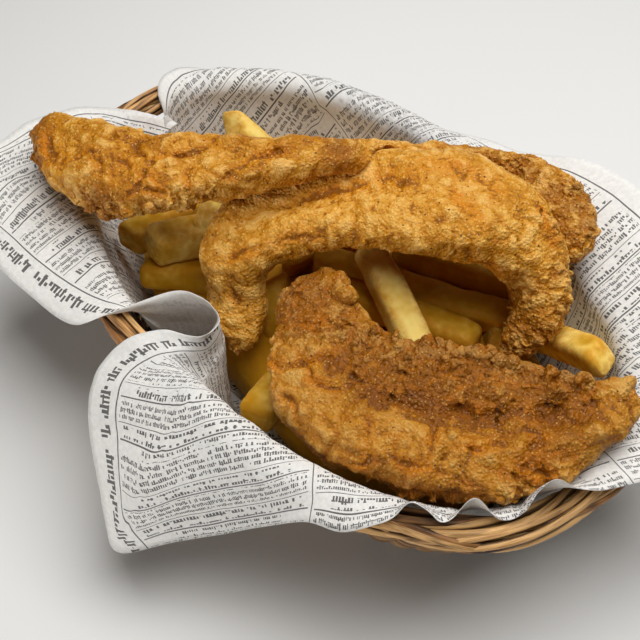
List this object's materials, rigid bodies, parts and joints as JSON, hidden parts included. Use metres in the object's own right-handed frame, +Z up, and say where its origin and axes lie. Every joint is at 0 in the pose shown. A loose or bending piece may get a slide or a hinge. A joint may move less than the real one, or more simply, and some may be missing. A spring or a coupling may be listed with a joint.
{
  "type": "basket of fried catfish",
  "caption": "Oval rattan basket lined with printed deli paper, filled with fries under long, curling, battered fried catfish fillets.",
  "frame": {"origin": "middle of the basket's foot, on the table", "axes": "+X along the basket, +Z up"},
  "size_m": [0.2715, 0.2128, 0.1026],
  "materials": {
    "rattan_wall": "satin",
    "rattan_border": "satin",
    "printed_paper": "matte",
    "fried_potato": "satin",
    "crust_back": "rough",
    "crust_arch": "rough",
    "crust_front": "rough"
  },
  "bodies": {
    "root": {"basket": "rattan_wall", "basket_rim": "rattan_border", "liner": "printed_paper", "fries": "fried_potato", "fillet_back": "crust_back", "fillet_arch": "crust_arch", "fillet_front": "crust_front"}
  },
  "joints": []
}
